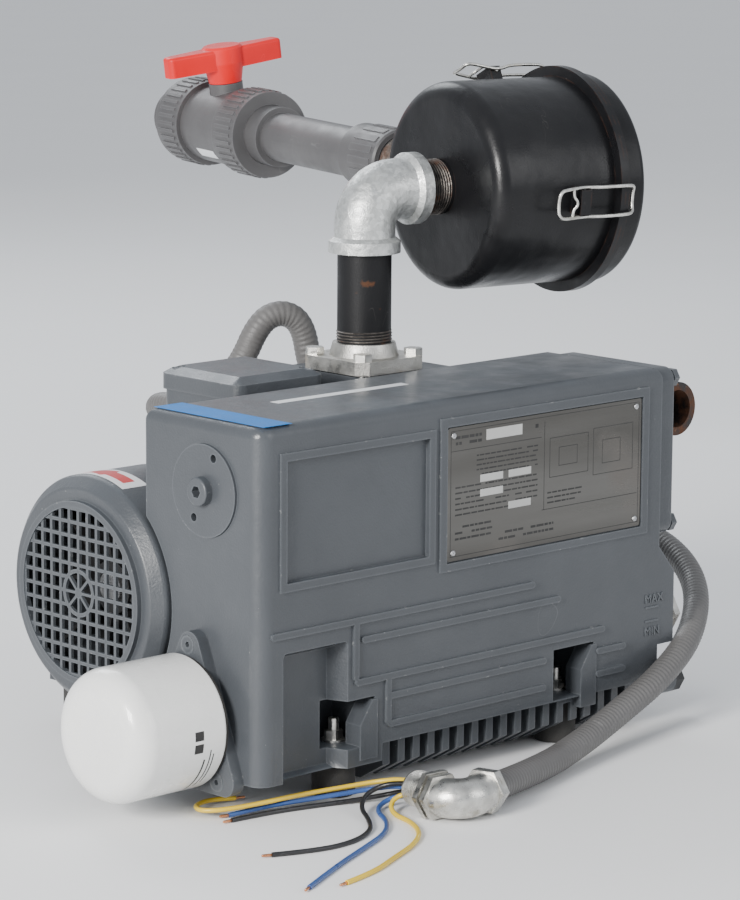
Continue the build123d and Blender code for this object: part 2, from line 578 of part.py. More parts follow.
HALF_CLIP = 11.5
for number, angle in enumerate(LATCH_ANGLES, start=1):
    profile = [(PIVOT_RADIUS + 6, 117), (PIVOT_RADIUS, PIVOT_T), (93, PIVOT_T + 8), (93, 190.6), (88, 190.6)]
    right = [latch_point(angle, radius, t, HALF_CLIP) for radius, t in profile]
    left = [latch_point(angle, radius, t, -HALF_CLIP) for radius, t in reversed(profile)]
    with BuildPart() as latch:
        wire_frame(right + left, WIRE_CLIP_RADIUS)
        wire_frame([right[1], left[3]], WIRE_CLIP_RADIUS, closed=False)
    save(latch, f"latch_{number}")

with BuildPart() as spout_nipple:
    ring(on_spout(76), PIPE_RADIUS, PIPE_BORE, 84)
save(spout_nipple, "spout_nipple")

# ---------------------------------------------------------------- plastic inlet line and ball valve
ADAPTER_S, ADAPTER_LENGTH = 134, 57
with BuildPart() as pvc_adapter:
    rod(on_spout(ADAPTER_S), 26.5, ADAPTER_LENGTH)
    chamfer(pvc_adapter.edges().filter_by(GeomType.CIRCLE), 1.5)
    with BuildSketch(on_spout(ADAPTER_S + 6)) as flutes:
        with PolarLocations(26.5, 16):
            Rectangle(1.6, 6)
    extrude(flutes.sketch, amount=ADAPTER_LENGTH - 24)
    rod(on_spout(ADAPTER_S - 1), SOCKET_RADIUS, ADAPTER_LENGTH + 2, Mode.SUBTRACT)
save(pvc_adapter, "pvc_adapter")

with BuildPart() as pvc_pipe:
    ring(on_spout(170), PIPE_RADIUS, 18, 174)
save(pvc_pipe, "pvc_pipe")

NUT_RADIUS, NUT_LENGTH, THREAD_RADIUS = 37.5, 38, 31
NUT_STARTS, NUT_LIPS = (348, 450), (348, 482)
with BuildPart() as valve_end_sockets:
    for start, end, flange in ((328, 360, 354), (476, 513, 476)):
        rod(on_spout(start), 26, end - start)
        rod(on_spout(flange), THREAD_RADIUS, 6)
    rod(on_spout(327), SOCKET_RADIUS, 17, Mode.SUBTRACT)
    rod(on_spout(482), SOCKET_RADIUS, 32, Mode.SUBTRACT)
    rod(on_spout(327), 18, 187, Mode.SUBTRACT)
save(valve_end_sockets, "valve_end_sockets")

with BuildPart() as union_nuts:
    for start, lip in zip(NUT_STARTS, NUT_LIPS):
        rod(on_spout(start), NUT_RADIUS, NUT_LENGTH)
        with BuildSketch(on_spout(start + 6)) as ribs:
            with PolarLocations(NUT_RADIUS, 36):
                Rectangle(2.4, 3)
        extrude(ribs.sketch, amount=NUT_LENGTH - 12)
        threads = start if lip != start else start + 6
        rod(on_spout(threads), THREAD_RADIUS + 0.3, NUT_LENGTH - 6, Mode.SUBTRACT)
        rod(on_spout(start - 1), 26.3, NUT_LENGTH + 2, Mode.SUBTRACT)
save(union_nuts, "union_nuts")

BALL_RADIUS, STEM_RADIUS, STEM_BASE, NECK_TOP = 25, 6.2, 22, 40
HANDLE_LENGTH, HANDLE_HEIGHT, HANDLE_LOW = 113, 18, 53
valve_centre = spout_start + spout * VALVE_S
roll = math.radians(VALVE_ROLL)
sideways_level = spout.cross(Vector(0, 0, 1)).normalized()
upright_line = sideways_level.cross(spout)
stem_line = upright_line * math.cos(roll) - sideways_level * math.sin(roll)


def on_stem(height):
    """A plane across the valve stem, with local x along the pipe."""
    return Plane(origin=valve_centre + stem_line * height, x_dir=spout, z_dir=stem_line)


with BuildPart() as valve_body:
    rod(on_spout(360), THREAD_RADIUS, 116)
    rod(on_spout(386.3), 33.5, 63.4)
    rod(on_stem(10), 15, NECK_TOP - 10)
    rod(on_spout(359), 18.3, 118, Mode.SUBTRACT)
    with Locations(valve_centre):
        Sphere(BALL_RADIUS + CLEAR, mode=Mode.SUBTRACT)
    rod(on_stem(10), STEM_RADIUS + RUNNING_GAP, 50, Mode.SUBTRACT)
save(valve_body, "valve_body")

with BuildPart() as valve_ball:
    with Locations(valve_centre):
        Sphere(BALL_RADIUS)
    rod(on_stem(STEM_BASE), 20, 10, Mode.SUBTRACT)
    bore = Plane(origin=valve_centre, z_dir=stem_line.cross(spout))
    rod(bore.offset(-30), 16, 60, Mode.SUBTRACT)
save(valve_ball, "valve_ball")

with BuildPart() as valve_handle:
    tip, waist = (8, HANDLE_LENGTH / 2), (12, 16)
    outline = [tip, waist, (waist[0], -waist[1]), (tip[0], -tip[1])]
    outline += [(-x, y) for x, y in reversed(outline)]
    with BuildSketch(on_stem(HANDLE_LOW)) as bar:
        Polygon(*outline, align=None)
        fillet(bar.vertices(), 5)
    extrude(bar.sketch, amount=HANDLE_HEIGHT)
    fillet(valve_handle.faces().sort_by(Axis(valve_centre, stem_line))[-1].edges(), 3)
    hub_top = HANDLE_LOW + HANDLE_HEIGHT + 2
    turned(on_stem(0), [(0, NECK_TOP + 0.5), (14.5, NECK_TOP + 0.5), (18, HANDLE_LOW + 5), (18, hub_top - 2),
                        (16, hub_top), (0, hub_top)])
    rod(on_stem(STEM_BASE), STEM_RADIUS, 20)
save(valve_handle, "valve_handle")

# ---------------------------------------------------------------- electrical conduit and its wires
GLAND_Y = 230


def route_radii(route):
    """The largest arc at each corner of a cord: 0.45 of its shorter run over tan(half the turn)."""
    radii = []
    for before, corner, after in zip(route, route[1:], route[2:]):
        arriving, leaving = corner - before, after - corner
        half_turn = math.radians(arriving.get_angle(leaving)) / 2
        radii.append(0.45 * min(arriving.length, leaving.length) / math.tan(half_turn))
    return radii


def cord(name, route, radius):
    """A tube along a free cord's route, whose volume is compared with its section times its length."""
    points = [at(*point) for point in route]
    radii = route_radii(points)
    with BuildLine() as path:
        FilletPolyline(*points, radius=radii)
    with BuildPart() as tube:
        with BuildSketch(Plane(origin=path.line @ 0, z_dir=path.line % 0)):
            Circle(radius)
        sweep(path=path.line)
    save(tube, name)
    length = sum(edge.length for edge in path.edges())
    share = tube.part.volume / (math.pi * radius**2 * length)
    print(name, "length", round(length), "volume share", round(share, 3),
          "radii", [round(value) for value in radii])


CONDUIT_ROUTE = [
    (150, 252, 226), (150, 288, 226), (178, 320, 212), (222, 322, 208), (257, 313, 240), (272, 306, 277),
    (289, 297, 285), (304, 289, 274), (309, 286, 238), (325, 284, 204), (366, 282, 168), (416, 268, 138),
    (468, 238, 114), (512, 198, 102), (536, 146, 99), (537, 92, 88), (514, 42, 66), (459, 0, 40),
    (400, -19, 19), (346, -27, 3), (288, -41, -9), (224, -60, -14), (145, -84.5, -9),
]
cord("conduit", CONDUIT_ROUTE, CONDUIT_RADIUS)

with BuildPart() as conduit_box_connector:
    behind = Plane(origin=at(150, GLAND_Y, 226), x_dir=(1, 0, 0), z_dir=(0, 1, 0))
    rod(behind.offset(-7), 10.3, 8)
    hexagon(behind, 30, 8)
    rod(behind.offset(8), 14, 14)
save(conduit_box_connector, "conduit_box_connector")

fitting = at(104, -97, -9)
conduit_end = at(*CONDUIT_ROUTE[-1])
end_line = (conduit_end - at(*CONDUIT_ROUTE[-2])).normalized()
mouth_line = Vector(math.cos(math.radians(84)), math.sin(math.radians(84)), 0)
def across_level(origin, direction):
    """A plane across a nearly level direction, with local x level, so that hexagons lie flat."""
    return Plane(origin=origin, x_dir=Vector(0, 0, 1).cross(direction), z_dir=direction)


with BuildPart() as conduit_end_fitting:
    swept([conduit_end + end_line * 6, fitting, fitting + mouth_line * 26], [14.5], 14.5)
    hexagon(across_level(conduit_end, end_line), 30, 10)
    mouth = across_level(fitting, mouth_line)
    hexagon(mouth.offset(20), 31, 5)
    hexagon(mouth.offset(27), 33, 5)
    ring(mouth.offset(25), 12.6, 10, 27)
save(conduit_end_fitting, "conduit_end_fitting")

WIRE_ROUTES = {
    "long_wire_yellow": [(112, -57, -5), (113, -32, -6), (106, -10, -11), (84, 4, -14.5), (50, 12, -15),
                         (18, 20, -17.5), (-10, 31, -19.5), (-20, 44, -20.5), (-12, 57, -20.5),
                         (8, 62, -21), (26, 56, -22.3)],
    "long_wire_blue": [(107, -57, -8), (108, -32, -10), (98, -10, -15.5), (72, 4, -18.5), (42, 15, -20),
                       (22, 24, -22), (-3, 30, -24.2)],
    "long_wire_black": [(112, -57, -11), (113, -34, -14), (106, -14, -21), (82, 0, -24.2), (52, 9, -24.2),
                        (22, 16, -24.2), (-10, 19, -24.2)],
    "short_wire_yellow": [(105, -57, -12), (104, -40, -13), (95, -35, -19), (86, -46, -24.2),
                          (82, -70, -24.2), (67, -95, -24.2), (42, -113, -24.2), (11, -126, -24.2),
                          (-22, -141, -24.2), (-52, -146, -24.2)],
    "short_wire_blue": [(109, -57, -13.5), (107, -34, -16), (96, -25, -22), (82, -34, -24.2),
                        (71, -57, -24.2), (48, -79, -24.2), (12, -95, -24.2), (-30, -113, -24.2),
                        (-78, -137, -24.2)],
    "short_wire_black": [(105.5, -57, -4.5), (104, -32, -6), (89, -17, -14), (73, -26, -21), (62, -48, -24.2),
                         (44, -68, -24.2), (17, -79, -24.2), (-14, -78, -24.2), (-46, -64, -24.2)],
}
for wire_name, wire_route in WIRE_ROUTES.items():
    cord(wire_name, wire_route, WIRE_RADIUS)
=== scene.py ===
"""Looks of the rotary vane vacuum pump: camera, cords, materials, small pieces, floor and light.

Metres, in the row frame: +Z up, +X along the shaft towards the exhaust end, +Y towards the motor.
Places are in millimetres from the oil box's lower front left corner, as in the part's source.
"""
import json
import math
import random

import bpy
from mathutils import Matrix, Vector


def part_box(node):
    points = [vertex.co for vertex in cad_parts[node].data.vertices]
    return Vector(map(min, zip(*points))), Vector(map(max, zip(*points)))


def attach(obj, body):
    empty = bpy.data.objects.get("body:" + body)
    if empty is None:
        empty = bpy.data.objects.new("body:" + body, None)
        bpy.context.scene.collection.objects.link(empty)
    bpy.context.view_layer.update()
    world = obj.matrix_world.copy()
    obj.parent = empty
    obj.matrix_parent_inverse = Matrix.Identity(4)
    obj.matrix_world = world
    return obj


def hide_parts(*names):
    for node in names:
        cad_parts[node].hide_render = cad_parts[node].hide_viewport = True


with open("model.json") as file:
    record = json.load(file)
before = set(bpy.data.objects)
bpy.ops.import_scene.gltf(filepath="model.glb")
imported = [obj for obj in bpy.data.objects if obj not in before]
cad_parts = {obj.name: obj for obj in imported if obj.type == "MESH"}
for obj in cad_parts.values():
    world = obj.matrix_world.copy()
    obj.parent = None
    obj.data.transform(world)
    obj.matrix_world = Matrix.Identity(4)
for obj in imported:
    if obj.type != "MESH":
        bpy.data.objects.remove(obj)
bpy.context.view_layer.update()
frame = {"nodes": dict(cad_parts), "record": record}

MM = 0.001
BOX_CORNER = Vector((-214.5, -173, 26))
SHAFT_Y, SHAFT_Z = 185.7, 114.4
COWL_RADIUS = 87.05
FILTER_Y, FILTER_Z = 70, 40
FITTING_CORNER, MOUTH_DEGREES = (104, -97, -9), 84  # the conduit's end fitting
PIPE_RADIUS, PIPE_PITCH = 21.1, 2.3  # 1 1/4 inch pipe and its thread
ARM_DEGREES, SPOUT_DEGREES, SPOUT_RISE = -10, 78, -1.3
LATCH_DEGREES = (-5, 115, 235)
BAIL_WIRE, CROSS_WIRE, BAIL_HALF_WIDTH = 1.4, 1.2, 11.5


def at(x, y, z):
    """A point measured from the oil box's lower front left corner, in the row frame."""
    return (BOX_CORNER + Vector((x, y, z))) * MM


# ---------------------------------------------------------------- camera
CAMERA_PLACE = (-1.86173, -2.01998, 0.71686)
CAMERA_RIGHT, CAMERA_UP = (0.7261, -0.6876, 0.0060), (0.1175, 0.1327, 0.9842)
SENSOR_WIDTH, FOCAL_LENGTH = 36, 144.2


def make_camera():
    right, up = Vector(CAMERA_RIGHT), Vector(CAMERA_UP)
    data = bpy.data.cameras.new("camera")
    data.sensor_width, data.lens = SENSOR_WIDTH, FOCAL_LENGTH
    camera = bpy.data.objects.new("camera", data)
    camera.matrix_world = Matrix((right, up, right.cross(up))).transposed().to_4x4()
    camera.location = CAMERA_PLACE
    bpy.context.collection.objects.link(camera)
    bpy.context.scene.camera = camera


make_camera()


# ---------------------------------------------------------------- material building blocks
def new_finish(name, **settings):
    """A material, its node tree and its shader, with the shader's constants set on its own sockets."""
    material = bpy.data.materials.new(name)
    material.use_nodes = True
    shader = material.node_tree.nodes["Principled BSDF"]
    for socket, value in settings.items():
        shader.inputs[socket.replace("_", " ")].default_value = value
    return material, material.node_tree, shader


def feed(tree, socket, value):
    """Links a socket into another, or sets it to a plain number or colour."""
    if isinstance(value, bpy.types.NodeSocket):
        tree.links.new(value, socket)
    elif isinstance(value, tuple):
        socket.default_value = (*value, 1)
    else:
        socket.default_value = value


def coordinates(tree, stretch=(1, 1, 1)):
    place = tree.nodes.new("ShaderNodeTexCoord")
    mapping = tree.nodes.new("ShaderNodeMapping")
    mapping.inputs["Scale"].default_value = stretch
    tree.links.new(place.outputs["Object"], mapping.inputs["Vector"])
    return mapping.outputs["Vector"]


def noise(tree, scale, detail=4, stretch=(1, 1, 1), distortion=0):
    texture = tree.nodes.new("ShaderNodeTexNoise")
    texture.inputs["Scale"].default_value = scale
    texture.inputs["Detail"].default_value = detail
    texture.inputs["Distortion"].default_value = distortion
    tree.links.new(coordinates(tree, stretch), texture.inputs["Vector"])
    return texture.outputs["Fac"]


def cells(tree, scale, stretch=(1, 1, 1)):
    texture = tree.nodes.new("ShaderNodeTexVoronoi")
    texture.inputs["Scale"].default_value = scale
    tree.links.new(coordinates(tree, stretch), texture.inputs["Vector"])
    separate = tree.nodes.new("ShaderNodeSeparateColor")
    tree.links.new(texture.outputs["Color"], separate.inputs["Color"])
    return separate.outputs["Red"]


def spread(tree, value, low, high, to_low=0.0, to_high=1.0):
    """The value's range low..high, mapped to another range and held inside it."""
    node = tree.nodes.new("ShaderNodeMapRange")
    sockets = ("From Min", "From Max", "To Min", "To Max")
    for socket, number in zip(sockets, (low, high, to_low, to_high)):
        node.inputs[socket].default_value = number
    tree.links.new(value, node.inputs["Value"])
    return node.outputs["Result"]


def combine(tree, how, a, b):
    node = tree.nodes.new("ShaderNodeMath")
    node.operation = how
    feed(tree, node.inputs[0], a)
    feed(tree, node.inputs[1], b)
    return node.outputs["Value"]


def blend(tree, share, a, b):
    """Colour a where share is 0 and colour b where it is 1."""
    node = tree.nodes.new("ShaderNodeMix")
    node.data_type = "RGBA"
    feed(tree, node.inputs[0], share)
    feed(tree, node.inputs[6], a)
    feed(tree, node.inputs[7], b)
    return node.outputs[2]


def rough_surface(tree, shader, *layers):
    """Bumps on the shader's normal: each layer is (height socket, depth in metres)."""
    normal = None
    for height, depth in layers:
        bump = tree.nodes.new("ShaderNodeBump")
        bump.inputs["Distance"].default_value = depth
        tree.links.new(height, bump.inputs["Height"])
        if normal:
            tree.links.new(normal, bump.inputs["Normal"])
        normal = bump.outputs["Normal"]
    tree.links.new(normal, shader.inputs["Normal"])


def edge_mask(tree, width):
    """1 along sharp edges, 0 on open faces."""
    bevel = tree.nodes.new("ShaderNodeBevel")
    bevel.samples = 4
    bevel.inputs["Radius"].default_value = width
    surface = tree.nodes.new("ShaderNodeNewGeometry")
    dot = tree.nodes.new("ShaderNodeVectorMath")
    dot.operation = "DOT_PRODUCT"
    tree.links.new(bevel.outputs["Normal"], dot.inputs[0])
    tree.links.new(surface.outputs["Normal"], dot.inputs[1])
    return spread(tree, dot.outputs["Value"], 0.985, 0.85)


def upward_mask(tree):
    """1 on faces that look up, 0 on walls."""
    surface = tree.nodes.new("ShaderNodeNewGeometry")
    separate = tree.nodes.new("ShaderNodeSeparateXYZ")
    tree.links.new(surface.outputs["Normal"], separate.inputs["Vector"])
    return spread(tree, separate.outputs["Z"], 0.6, 0.95)


def scratches(tree, scale, width, stretch=(1, 1, 1)):
    """Thin wandering lines, where a slow noise crosses its middle, kept to a few patches."""
    line = noise(tree, scale, 3, stretch, 0.4)
    distance = combine(tree, "ABSOLUTE", combine(tree, "SUBTRACT", line, 0.5), 0.0)
    where = spread(tree, noise(tree, scale * 0.7, 1), 0.60, 0.64)
    return combine(tree, "MULTIPLY", spread(tree, distance, width, 0), where)


# ---------------------------------------------------------------- materials
def enamel(name, base, deep, roughness=0.36):
    """Satin enamel on a casting: shade drift, orange peel, dust on top with a painted blue sky sheen, wear
    and chips at the edges.
    """
    material, tree, shader = new_finish(name, Coat_Weight=0.12, Coat_Roughness=0.25)
    colour = blend(tree, spread(tree, noise(tree, 9, 5), 0.3, 0.7), base, deep)
    # upward faces in patches, blended towards pale blue: part dust, part a painted sky reflection on the
    # tops
    dust_and_sky_sheen = combine(tree, "MULTIPLY", upward_mask(tree), spread(tree, noise(tree, 26, 6), 0.35, 0.75))
    colour = blend(tree, combine(tree, "MULTIPLY", dust_and_sky_sheen, 0.10), colour, (0.26, 0.33, 0.40))
    edges = edge_mask(tree, 0.0022)
    colour = blend(tree, combine(tree, "MULTIPLY", edges, 0.22), colour, (0.24, 0.26, 0.28))
    chips = combine(tree, "MULTIPLY", edges, spread(tree, noise(tree, 210, 3), 0.66, 0.71))
    spots = spread(tree, noise(tree, 330, 2), 0.775, 0.80)
    lines = combine(tree, "MULTIPLY", scratches(tree, 5, 0.0009), 0.25)
    marks = combine(tree, "MAXIMUM", combine(tree, "MAXIMUM", chips, spots), lines)
    colour = blend(tree, combine(tree, "MULTIPLY", marks, 0.45), colour, (0.42, 0.42, 0.41))
    tree.links.new(colour, shader.inputs["Base Color"])
    gloss = spread(tree, noise(tree, 40, 5), 0.3, 0.7, roughness - 0.07, roughness + 0.12)
    gloss = combine(tree, "ADD", gloss, combine(tree, "MULTIPLY", dust_and_sky_sheen, 0.15))
    tree.links.new(gloss, shader.inputs["Roughness"])
    rough_surface(tree, shader, (noise(tree, 620, 3), 0.00022), (noise(tree, 75, 2), 0.0005))
    return material


def bare_metal(name, light, dark, scale, roughness, grain, depth, stretch=(1, 1, 1), stain=None,
               stained=0.5):
    """Metal with mottled shade and gloss, a fine grain and, where a stain is given, patches of it."""
    material, tree, shader = new_finish(name, Metallic=1.0)
    patches = spread(tree, noise(tree, scale, 6, stretch), 0.32, 0.68)
    colour = blend(tree, patches, light, dark)
    if stain:
        where = spread(tree, noise(tree, scale * 0.45, 7), 1 - stained, 1.12 - stained)
        colour = blend(tree, where, colour, stain)
        tree.links.new(spread(tree, where, 0, 1, 1.0, 0.15), shader.inputs["Metallic"])
    tree.links.new(colour, shader.inputs["Base Color"])
    gloss = spread(tree, noise(tree, scale * 1.7, 4, stretch), 0.3, 0.7,
                   roughness - 0.08, roughness + 0.14)
    tree.links.new(gloss, shader.inputs["Roughness"])
    rough_surface(tree, shader, (noise(tree, grain, 4, stretch), depth))
    return material


def galvanised(name):
    """Hot-dip zinc on malleable iron: spangle cells, grey streaks and a lumpy skin."""
    material, tree, shader = new_finish(name, Metallic=0.82)
    spangle = spread(tree, cells(tree, 320), 0, 1)
    colour = blend(tree, spangle, (0.47, 0.48, 0.47), (0.66, 0.67, 0.66))
    grime = spread(tree, noise(tree, 38, 7), 0.50, 0.72)
    colour = blend(tree, combine(tree, "MULTIPLY", grime, 0.30), colour, (0.26, 0.26, 0.25))
    tree.links.new(colour, shader.inputs["Base Color"])
    tree.links.new(spread(tree, noise(tree, 160, 5), 0.3, 0.7, 0.30, 0.58), shader.inputs["Roughness"])
    rough_surface(tree, shader, (noise(tree, 900, 2), 0.0002), (noise(tree, 110, 3), 0.0009))
    return material


def moulded(name, base, deep, roughness, grain=1400, depth=0.00008, worn=None, **settings):
    """Moulded plastic or rubber: slight shade drift, fine skin and, where given, rubbed edges."""
    material, tree, shader = new_finish(name, **settings)
    colour = blend(tree, spread(tree, noise(tree, 17, 5), 0.3, 0.7), base, deep)
    if worn:
        colour = blend(tree, combine(tree, "MULTIPLY", edge_mask(tree, 0.0015), 0.4), colour, worn)
    marks = combine(tree, "MULTIPLY", scratches(tree, 16, 0.0022), 0.35)
    colour = blend(tree, marks, colour, tuple(min(1, value * 1.6 + 0.05) for value in base))
    tree.links.new(colour, shader.inputs["Base Color"])
    tree.links.new(spread(tree, noise(tree, 55, 5), 0.3, 0.7, roughness - 0.06, roughness + 0.12),
                   shader.inputs["Roughness"])
    rough_surface(tree, shader, (noise(tree, grain, 3), depth), (noise(tree, 60, 2), depth * 3))
    return material


def black_paint(name, roughness, rust, drift):
    """Black paint on steel, with pale handling marks and a little rust coming through at the edges."""
    glossy = roughness < 0.4
    material, tree, shader = new_finish(name, Specular_IOR_Level=0.26, Coat_Roughness=0.16,
                                        Coat_Weight=0.06 if glossy else 0.0)
    colour = blend(tree, spread(tree, noise(tree, 14, 6), 0.35, 0.7),
                   (0.005, 0.005, 0.006), (0.010, 0.010, 0.011))
    marks = combine(tree, "MAXIMUM", scratches(tree, 24, 0.0025, (1, 1, 0.4)),
                    spread(tree, noise(tree, 420, 2), 0.74, 0.79))
    colour = blend(tree, combine(tree, "MULTIPLY", marks, 0.18), colour, (0.16, 0.15, 0.14))
    edges = combine(tree, "MULTIPLY", edge_mask(tree, 0.002),
                    spread(tree, noise(tree, 90, 5), 0.45, 0.65))
    spots = combine(tree, "MAXIMUM", edges, spread(tree, noise(tree, 62, 7), 1 - rust, 1.06 - rust))
    colour = blend(tree, combine(tree, "MULTIPLY", spots, 0.35 if glossy else 0.75), colour,
                   (0.10, 0.042, 0.020))
    tree.links.new(colour, shader.inputs["Base Color"])
    gloss = spread(tree, noise(tree, 33, 5), 0.3, 0.7, roughness - 0.05, roughness + 0.10)
    gloss = combine(tree, "ADD", gloss, combine(tree, "MULTIPLY", spots, 0.3))
    tree.links.new(gloss, shader.inputs["Roughness"])
    rough_surface(tree, shader, (noise(tree, 700, 3), 0.00012), (noise(tree, 28, 2), drift))
    return material


def rusty_iron(name):
    material, tree, shader = new_finish(name, Metallic=0.25)
    where = spread(tree, noise(tree, 85, 8), 0.42, 0.62)
    colour = blend(tree, where, (0.022, 0.019, 0.018), (0.115, 0.048, 0.024))
    colour = blend(tree, spread(tree, noise(tree, 260, 5), 0.6, 0.75), colour, (0.19, 0.085, 0.04))
    tree.links.new(colour, shader.inputs["Base Color"])
    tree.links.new(spread(tree, where, 0, 1, 0.5, 0.9), shader.inputs["Roughness"])
    rough_surface(tree, shader, (noise(tree, 500, 6), 0.0006))
    return material


def pleated_paper(name, base, deep, pleats):
    material, tree, shader = new_finish(name, Roughness=0.85)
    wave = tree.nodes.new("ShaderNodeTexWave")
    wave.inputs["Scale"].default_value = pleats
    tree.links.new(coordinates(tree), wave.inputs["Vector"])
    tree.links.new(blend(tree, wave.outputs["Fac"], base, deep), shader.inputs["Base Color"])
    rough_surface(tree, shader, (wave.outputs["Fac"], 0.001), (noise(tree, 900, 4), 0.0002))
    return material


def clear_glass(name):
    material, tree, shader = new_finish(name, Transmission_Weight=0.85, IOR=1.5)
    colour = blend(tree, spread(tree, noise(tree, 120, 4), 0.4, 0.7),
                   (0.82, 0.80, 0.68), (0.60, 0.52, 0.30))
    tree.links.new(colour, shader.inputs["Base Color"])
    tree.links.new(spread(tree, noise(tree, 300, 4), 0.4, 0.7, 0.04, 0.18), shader.inputs["Roughness"])
    return material


FINISHES = {
    "enamel": enamel("enamel", (0.062, 0.068, 0.076), (0.048, 0.053, 0.060)),
    "rail_paint": enamel("rail_paint", (0.050, 0.055, 0.062), (0.034, 0.038, 0.044), 0.5),
    "zinc": bare_metal("zinc", (0.74, 0.73, 0.69), (0.50, 0.49, 0.46), 120, 0.30, 900, 0.00012,
                       stain=(0.32, 0.30, 0.25), stained=0.38),
    "steel": bare_metal("steel", (0.56, 0.56, 0.56), (0.38, 0.38, 0.39), 90, 0.32, 1100, 0.0001, (1, 1, 6)),
    "nameplate_steel": bare_metal("nameplate_steel", (0.165, 0.160, 0.150), (0.105, 0.100, 0.092), 22,
                                  0.30, 1300, 0.00005, (0.08, 1, 1), (0.10, 0.09, 0.08), 0.40),
    "flange_steel": bare_metal("flange_steel", (0.60, 0.59, 0.56), (0.40, 0.39, 0.36), 60, 0.42, 700, 0.0004,
                               stain=(0.22, 0.18, 0.13), stained=0.42),
    "galvanised": galvanised("galvanised"),
    "black_pipe": black_paint("black_pipe", 0.48, 0.33, 0.0003),
    "canister_black": black_paint("canister_black", 0.30, 0.20, 0.0016),
    "dark_iron": rusty_iron("dark_iron"),
    "filter_white": moulded("filter_white", (0.84, 0.84, 0.82), (0.76, 0.76, 0.74), 0.24, Coat_Weight=0.4),
    "pvc_grey": moulded("pvc_grey", (0.090, 0.088, 0.090), (0.068, 0.066, 0.068), 0.44,
                        worn=(0.22, 0.22, 0.23)),
    "handle_red": moulded("handle_red", (0.80, 0.012, 0.014), (0.66, 0.008, 0.010), 0.34,
                          Specular_IOR_Level=0.3, worn=(0.90, 0.06, 0.06)),
    "black_plastic": moulded("black_plastic", (0.018, 0.018, 0.019), (0.030, 0.030, 0.031), 0.45),
    "rubber": moulded("rubber", (0.022, 0.022, 0.022), (0.045, 0.043, 0.040), 0.78, 900, 0.0003,
                      worn=(0.10, 0.095, 0.09)),
    "gasket": moulded("gasket", (0.030, 0.028, 0.026), (0.06, 0.055, 0.05), 0.85, 700, 0.0003),
    "glass": clear_glass("glass"),
    "filter_media": pleated_paper("filter_media", (0.62, 0.50, 0.30), (0.40, 0.30, 0.16), 60),
    "windings": bare_metal("windings", (0.60, 0.25, 0.09), (0.34, 0.12, 0.05), 200, 0.36, 500, 0.0008,
                           (6, 1, 1)),
    "carbon": moulded("carbon", (0.030, 0.030, 0.032), (0.050, 0.050, 0.052), 0.5),
    "conduit_grey": moulded("conduit_grey", (0.128, 0.124, 0.121), (0.100, 0.096, 0.094), 0.46, 1100,
                            0.0002),
    "wire_black": moulded("wire_black", (0.012, 0.012, 0.013), (0.022, 0.022, 0.024), 0.30),
    "wire_blue": moulded("wire_blue", (0.045, 0.11, 0.33), (0.030, 0.075, 0.24), 0.30),
    "wire_yellow": moulded("wire_yellow", (0.80, 0.56, 0.035), (0.66, 0.44, 0.03), 0.32),
}
COPPER = bare_metal("copper", (0.80, 0.38, 0.20), (0.52, 0.22, 0.11), 300, 0.30, 1500, 0.0002, (1, 1, 1))
THREAD_STEEL = bare_metal("thread_steel", (0.22, 0.20, 0.18), (0.09, 0.08, 0.075), 140, 0.48, 600, 0.0004,
                          stain=(0.075, 0.034, 0.018), stained=0.50)
LABEL_WHITE = moulded("label_white", (0.78, 0.79, 0.80), (0.66, 0.67, 0.69), 0.42)
LABEL_BLUE = moulded("label_blue", (0.008, 0.19, 0.56), (0.006, 0.16, 0.48), 0.45, Specular_IOR_Level=0.25)
LABEL_RED = moulded("label_red", (0.58, 0.035, 0.035), (0.46, 0.026, 0.026), 0.38)
PRINT_DARK = moulded("print_dark", (0.012, 0.012, 0.012), (0.030, 0.029, 0.028), 0.60)
PRINT_LIGHT = moulded("print_light", (0.50, 0.50, 0.48), (0.38, 0.38, 0.37), 0.40)


def paint_nodes():
    """Every CAD node takes the finish of its material slot in the record."""
    for part in frame["record"]["subparts"]:
        node = frame["nodes"][part["node"]]
        for place in node.material_slots:
            place.material = FINISHES[part["material_slot"]]


paint_nodes()


# ---------------------------------------------------------------- pieces
def add_piece(name, vertices, faces, finish, body="base", smooth=True):
    """A mesh piece that rides on a body."""
    mesh = bpy.data.meshes.new(name)
    mesh.from_pydata([tuple(v) for v in vertices], [], faces)
    mesh.materials.append(finish)
    mesh.update()
    if smooth:
        mesh.shade_smooth()
    piece = bpy.data.objects.new(name, mesh)
    bpy.context.collection.objects.link(piece)
    if body:
        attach(piece, body)
    return piece


def across(axis):
    """Two unit vectors at right angles to an axis and to each other."""
    side = axis.cross(Vector((0, 0, 1)))
    if side.length < 0.1:
        side = axis.cross(Vector((1, 0, 0)))
    side.normalize()
    return side, axis.cross(side).normalized()


def grid_faces(rows, columns, closed_rows=False):
    """Quads over rows of points, each row closed on itself."""
    faces = []
    for i in range(rows if closed_rows else rows - 1):
        for j in range(columns):
            k, i2 = (j + 1) % columns, (i + 1) % rows
            faces.append((i * columns + j, i * columns + k, i2 * columns + k, i2 * columns + j))
    return faces


def turned(name, origin, axis, profile, finish, body="base", steps=64):
    """A closed ring: profile is (radius, distance along the axis) in millimetres, once round."""
    side, other = across(axis)
    vertices = []
    for i in range(steps):
        turn = 2 * math.pi * i / steps
        outward = side * math.cos(turn) + other * math.sin(turn)
        vertices += [origin + (outward * r + axis * s) * MM for r, s in profile]
    return add_piece(name, vertices, grid_faces(steps, len(profile), True), finish, body)


